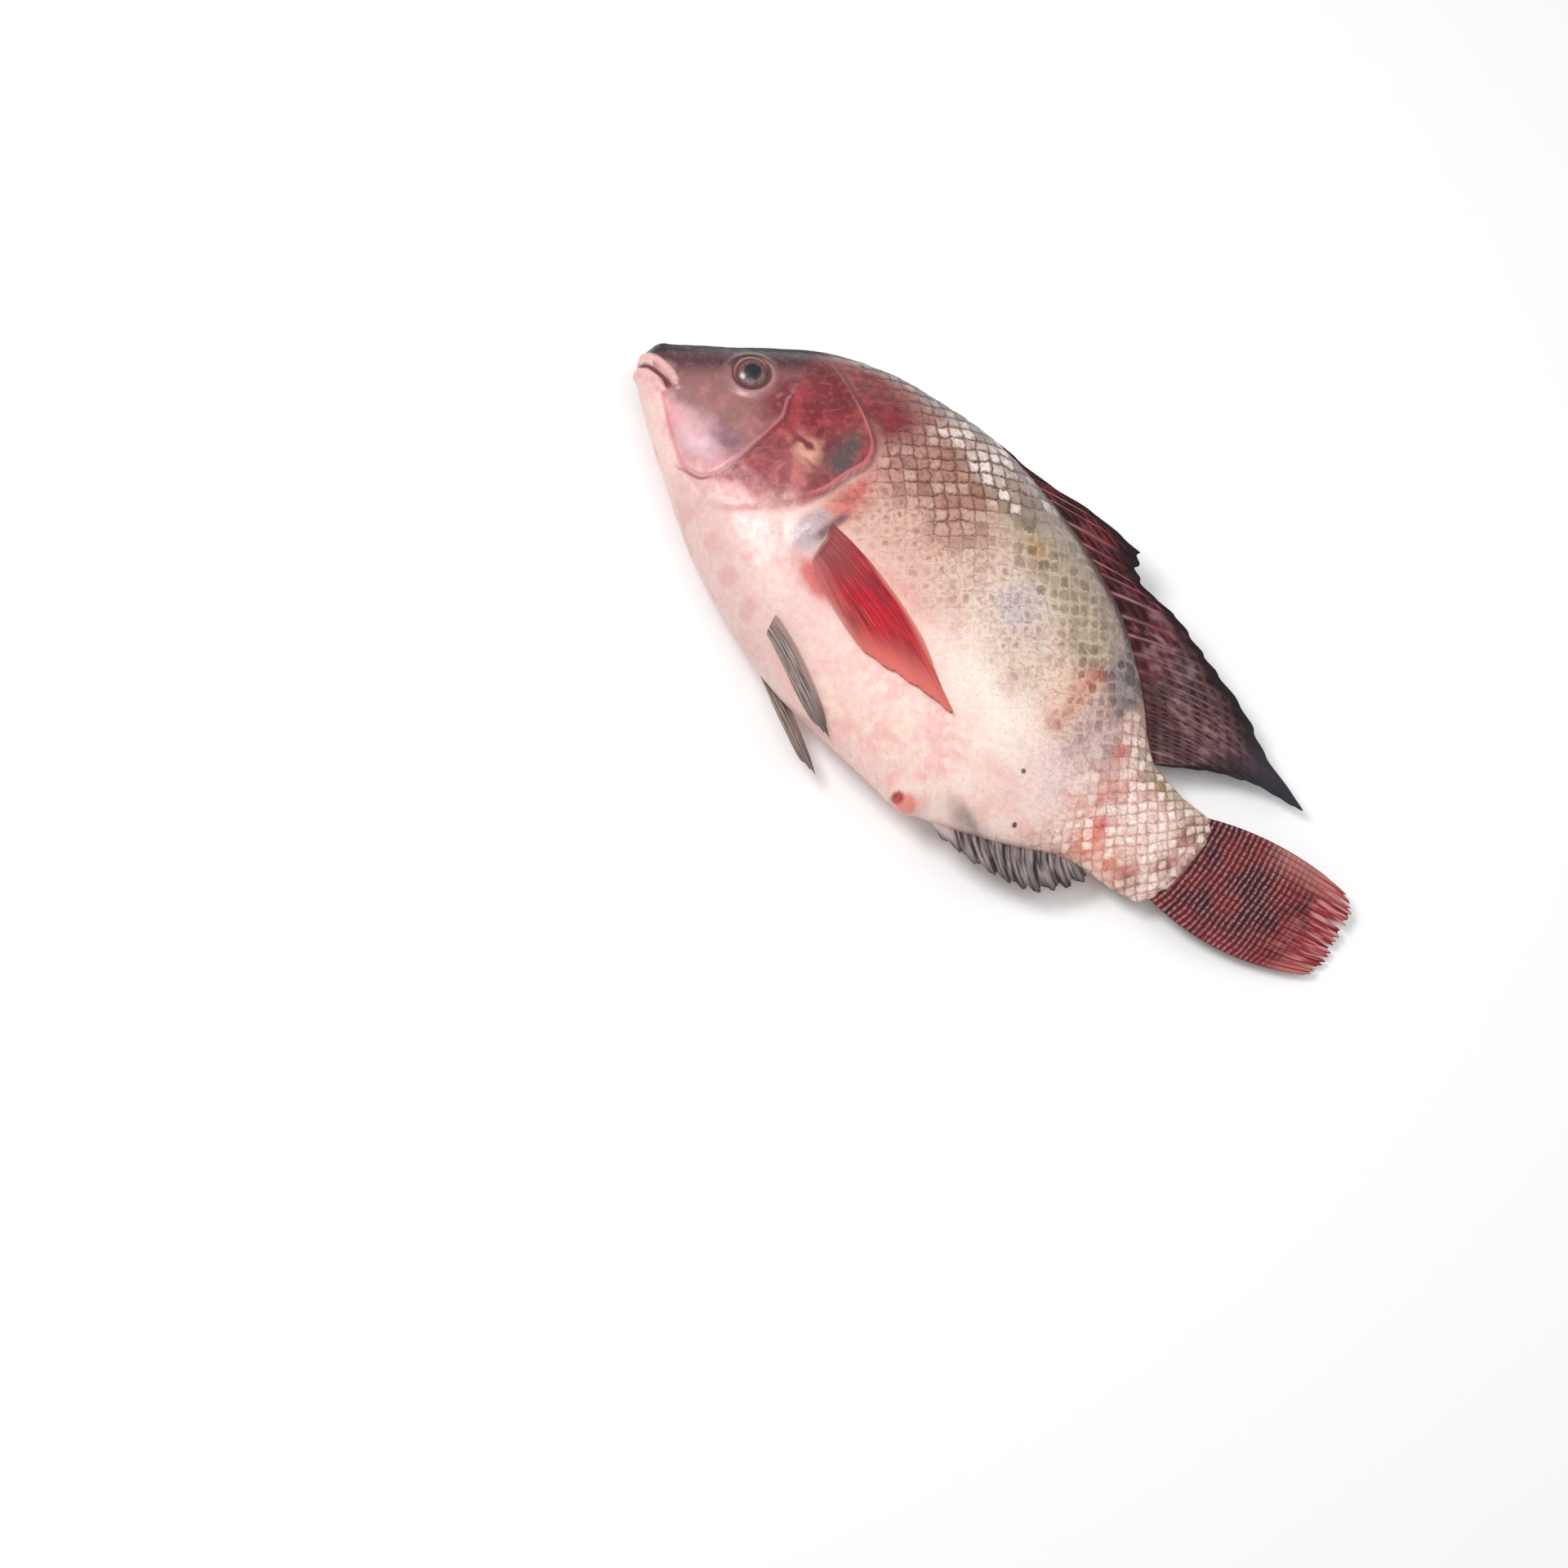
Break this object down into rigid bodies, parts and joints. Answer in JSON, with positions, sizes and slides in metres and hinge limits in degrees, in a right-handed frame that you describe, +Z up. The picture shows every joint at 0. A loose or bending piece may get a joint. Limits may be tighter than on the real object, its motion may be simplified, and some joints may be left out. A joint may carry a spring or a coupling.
{
  "type": "whole raw fish",
  "caption": "Whole raw scaly food fish lying on its side, with closed gill cover, folded fins and a fanned tail.",
  "frame": {"origin": "middle of the fish's box seen from above, on the table that it lies on", "axes": "+X from the snout to the tail, +Y to the back, +Z up through the flank that shows"},
  "size_m": [0.3053, 0.1323, 0.0469],
  "materials": {
    "fish_skin": "wet scaly skin, semi-gloss",
    "fish_fin": "thin wet fin, semi-gloss",
    "fish_eye": "wet clear cornea, high gloss"
  },
  "bodies": {
    "root": {"fish": "fish_skin"}
  },
  "joints": []
}
